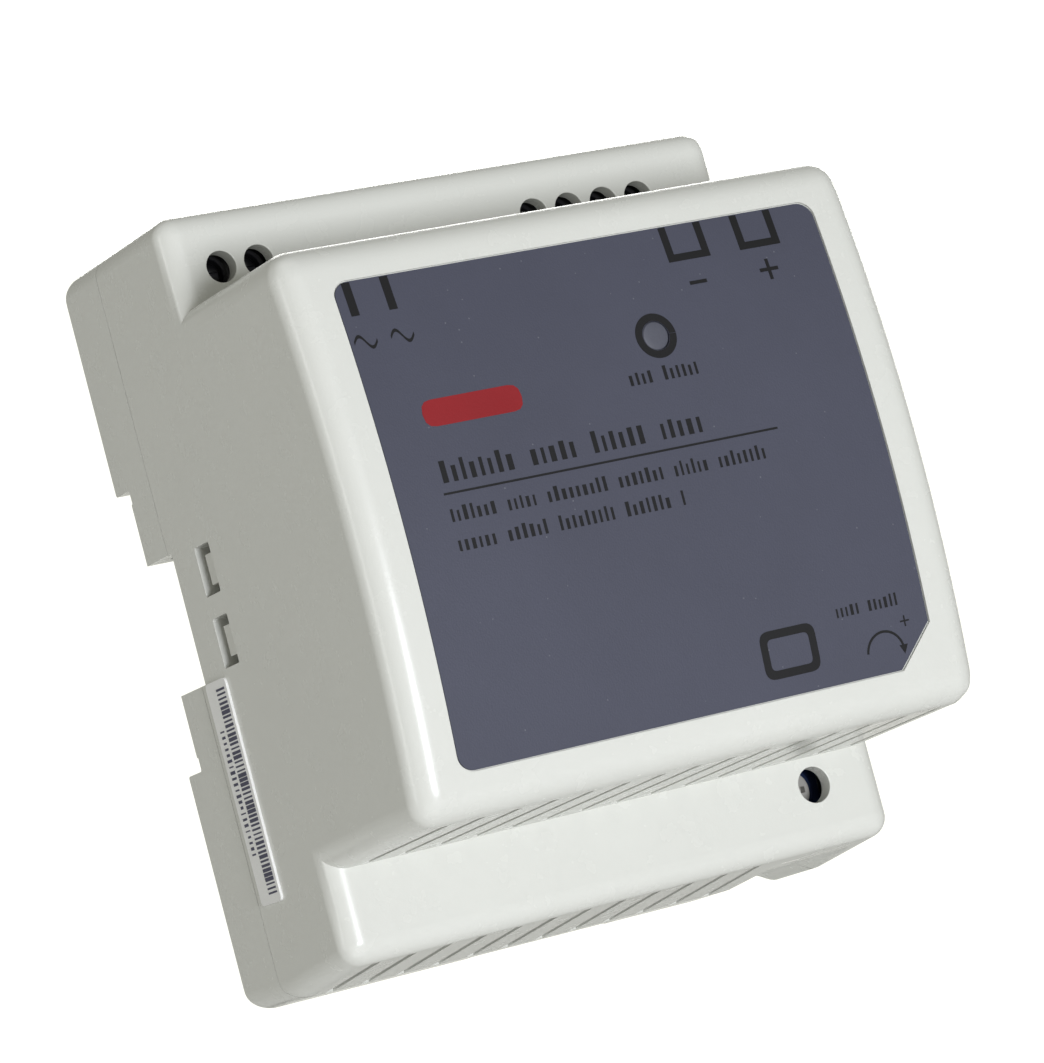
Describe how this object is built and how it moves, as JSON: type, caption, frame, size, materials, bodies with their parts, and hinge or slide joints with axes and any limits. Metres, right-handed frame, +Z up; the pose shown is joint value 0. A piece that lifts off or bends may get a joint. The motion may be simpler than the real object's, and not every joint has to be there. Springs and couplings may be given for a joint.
{
  "type": "din rail power supply",
  "caption": "Boxed power supply that hooks onto a 35 mm rail, with screw terminals behind its upper shelf, an output lamp and a trimmer.",
  "frame": {"origin": "on the flat face that lies against the rail, at the rail's centre line and the unit's mid width", "axes": "+Z up along the unit's height, +X to the right seen from the front, +Y backwards to the rail, so the front faces -Y"},
  "size_m": [0.0785, 0.0586, 0.093],
  "materials": {
    "housing_plastic": "fine satin moulded texture, warm light grey",
    "clip_plastic": "satin moulded, light grey",
    "label_film": "satin printed film, slate grey with a violet cast",
    "sticker_paper": "coated white paper, printed bars",
    "lens_plastic": "clear frosted window",
    "lamp_resin": "translucent green resin",
    "board_laminate": "green solder mask over glass laminate",
    "terminal_plastic": "moulded nylon, black",
    "plated_steel": "zinc plated, turned",
    "spring_steel": "drawn wire",
    "film": "clear amber insulating film",
    "nylon": "natural nylon",
    "trimmer_blue": "moulded, blue",
    "trimmer_white": "moulded, off white",
    "black_epoxy": "moulded epoxy, fine grain",
    "ferrite": "sintered dark grey ferrite",
    "capacitor_sleeve": "shrunk sleeve, dark blue",
    "capacitor_case": "moulded case, yellow",
    "disc_coat_green": "dipped phenolic, dark green",
    "disc_coat_blue": "dipped epoxy, blue",
    "copper_winding": "enamelled copper wire",
    "winding_tape": "yellow polyester tape",
    "heatsink": "extruded, bead blasted",
    "fuse_glass": "clear glass tube",
    "opto_resin": "white moulded epoxy"
  },
  "bodies": {
    "housing": {"board_screw_1": "plated_steel", "board_screw_2": "plated_steel", "board_screw_3": "plated_steel", "board_screw_4": "plated_steel", "bridge_rectifier": "black_epoxy", "bulk_capacitor": "capacitor_sleeve", "choke_core": "ferrite", "choke_winding": "copper_winding", "clip_spring": "spring_steel", "control_chip": "black_epoxy", "front_cover": "housing_plastic", "front_label": "label_film", "fuse_cap_1": "plated_steel", "fuse_cap_2": "plated_steel", "fuse_glass": "fuse_glass", "input_terminal": "terminal_plastic", "inrush_thermistor": "disc_coat_green", "insulation_sheet": "film", "led_spacer": "nylon", "led_window": "lens_plastic", "line_capacitor": "capacitor_case", "main_board": "board_laminate", "optocoupler": "opto_resin", "output_capacitor_1": "capacitor_sleeve", "output_capacitor_2": "capacitor_sleeve", "output_inductor": "capacitor_sleeve", "output_rectifier": "black_epoxy", "output_terminal": "terminal_plastic", "primary_heatsink": "heatsink", "rear_base": "housing_plastic", "safety_capacitor": "disc_coat_blue", "secondary_heatsink": "heatsink", "side_sticker": "sticker_paper", "status_led": "lamp_resin", "switch_transistor": "black_epoxy", "transformer_coil": "winding_tape", "transformer_core": "ferrite", "trim_body": "trimmer_blue"},
    "rail_clip": {"rail_clip": "clip_plastic"},
    "trim_rotor": {"trim_rotor": "trimmer_white"},
    "input_screw_1": {"input_screw_1": "plated_steel"},
    "input_clamp_1": {"input_clamp_1": "plated_steel"},
    "input_screw_2": {"input_screw_2": "plated_steel"},
    "input_clamp_2": {"input_clamp_2": "plated_steel"},
    "output_screw_1": {"output_screw_1": "plated_steel"},
    "output_clamp_1": {"output_clamp_1": "plated_steel"},
    "output_screw_2": {"output_screw_2": "plated_steel"},
    "output_clamp_2": {"output_clamp_2": "plated_steel"},
    "output_screw_3": {"output_screw_3": "plated_steel"},
    "output_clamp_3": {"output_clamp_3": "plated_steel"},
    "output_screw_4": {"output_screw_4": "plated_steel"},
    "output_clamp_4": {"output_clamp_4": "plated_steel"}
  },
  "joints": [
    {"name": "clip_slide", "type": "slide", "parent": "housing", "child": "rail_clip", "axis": [0, 0, -1], "range_m": [0, 0.004], "stiffness_N_per_m": 700, "springref_m": -0.004, "deforming": ["clip_spring"]},
    {"name": "trim_turn", "type": "hinge", "parent": "housing", "child": "trim_rotor", "pos_m": [0.0289, -0.0198, -0.038], "axis": [0, -1, 0], "range_deg": [-135, 135]},
    {"name": "input_screw_1_turn", "type": "hinge", "parent": "housing", "child": "input_screw_1", "pos_m": [-0.03211, -0.0218, 0.0383], "axis": [0, 1, 0], "range_deg": [0, 1152]},
    {"name": "input_clamp_1_rise", "type": "slide", "parent": "housing", "child": "input_clamp_1", "axis": [0, -1, 0], "range_m": [0, 0.0016]},
    {"name": "input_screw_2_turn", "type": "hinge", "parent": "housing", "child": "input_screw_2", "pos_m": [-0.02703, -0.0218, 0.0383], "axis": [0, 1, 0], "range_deg": [0, 1152]},
    {"name": "input_clamp_2_rise", "type": "slide", "parent": "housing", "child": "input_clamp_2", "axis": [0, -1, 0], "range_m": [0, 0.0016]},
    {"name": "output_screw_1_turn", "type": "hinge", "parent": "housing", "child": "output_screw_1", "pos_m": [0.01157, -0.0218, 0.0383], "axis": [0, 1, 0], "range_deg": [0, 1152]},
    {"name": "output_clamp_1_rise", "type": "slide", "parent": "housing", "child": "output_clamp_1", "axis": [0, -1, 0], "range_m": [0, 0.0016]},
    {"name": "output_screw_2_turn", "type": "hinge", "parent": "housing", "child": "output_screw_2", "pos_m": [0.01665, -0.0218, 0.0383], "axis": [0, 1, 0], "range_deg": [0, 1152]},
    {"name": "output_clamp_2_rise", "type": "slide", "parent": "housing", "child": "output_clamp_2", "axis": [0, -1, 0], "range_m": [0, 0.0016]},
    {"name": "output_screw_3_turn", "type": "hinge", "parent": "housing", "child": "output_screw_3", "pos_m": [0.02173, -0.0218, 0.0383], "axis": [0, 1, 0], "range_deg": [0, 1152]},
    {"name": "output_clamp_3_rise", "type": "slide", "parent": "housing", "child": "output_clamp_3", "axis": [0, -1, 0], "range_m": [0, 0.0016]},
    {"name": "output_screw_4_turn", "type": "hinge", "parent": "housing", "child": "output_screw_4", "pos_m": [0.02681, -0.0218, 0.0383], "axis": [0, 1, 0], "range_deg": [0, 1152]},
    {"name": "output_clamp_4_rise", "type": "slide", "parent": "housing", "child": "output_clamp_4", "axis": [0, -1, 0], "range_m": [0, 0.0016]}
  ],
  "couplings": [
    {"joint": "input_screw_1_turn", "follows": "input_clamp_1_rise", "rad_per_m": 12565},
    {"joint": "input_screw_2_turn", "follows": "input_clamp_2_rise", "rad_per_m": 12565},
    {"joint": "output_screw_1_turn", "follows": "output_clamp_1_rise", "rad_per_m": 12565},
    {"joint": "output_screw_2_turn", "follows": "output_clamp_2_rise", "rad_per_m": 12565},
    {"joint": "output_screw_3_turn", "follows": "output_clamp_3_rise", "rad_per_m": 12565},
    {"joint": "output_screw_4_turn", "follows": "output_clamp_4_rise", "rad_per_m": 12565}
  ]
}
